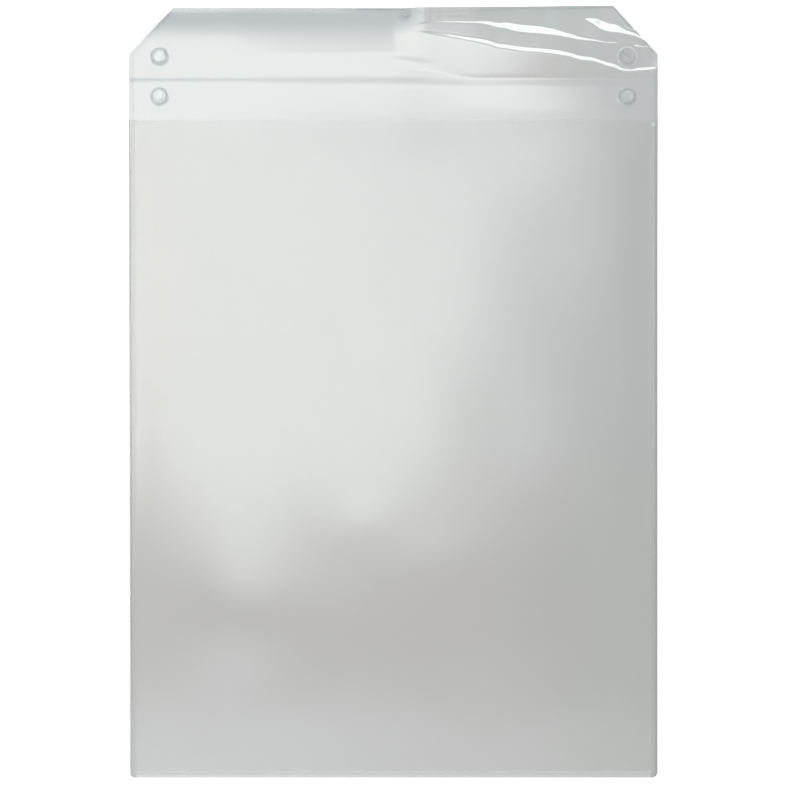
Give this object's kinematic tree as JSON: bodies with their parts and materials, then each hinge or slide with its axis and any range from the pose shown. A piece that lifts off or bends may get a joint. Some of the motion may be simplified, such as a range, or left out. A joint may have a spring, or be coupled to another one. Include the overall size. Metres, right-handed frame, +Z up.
{
  "type": "document sleeve",
  "caption": "Clear soft vinyl document sleeve, welded on three sides, with an open mouth and a scored fold-over flap that closes with clear press studs.",
  "frame": {"origin": "on the table, under the middle of the sleeve as it lies on its back with its flap open", "axes": "+X across the width, to the right as seen from the front; +Y along the length, from the bottom weld to the flap; +Z up, out of the front film"},
  "size_m": [0.23, 0.336, 0.0055],
  "materials": {
    "clear_film": "clear glossy soft vinyl film",
    "welded_film": "clear vinyl melted together in a pressed seam",
    "clear_snap": "clear moulded plastic"
  },
  "bodies": {
    "sleeve": {"back_panel": "clear_film", "front_panel": "clear_film", "left_side_weld": "welded_film", "right_side_weld": "welded_film", "bottom_weld": "welded_film", "band_snap_cap_left": "clear_snap", "band_snap_cap_right": "clear_snap", "band_snap_stud_left": "clear_snap", "band_snap_stud_right": "clear_snap"},
    "flap": {"flap_panel": "clear_film", "flap_snap_cap_left": "clear_snap", "flap_snap_cap_right": "clear_snap", "flap_snap_socket_left": "clear_snap", "flap_snap_socket_right": "clear_snap"}
  },
  "joints": [
    {"name": "flap_fold", "type": "hinge", "parent": "sleeve", "child": "flap", "pos_m": [0, 0.137, 0.0033], "axis": [1, 0, 0], "range_deg": [0, 180]}
  ]
}
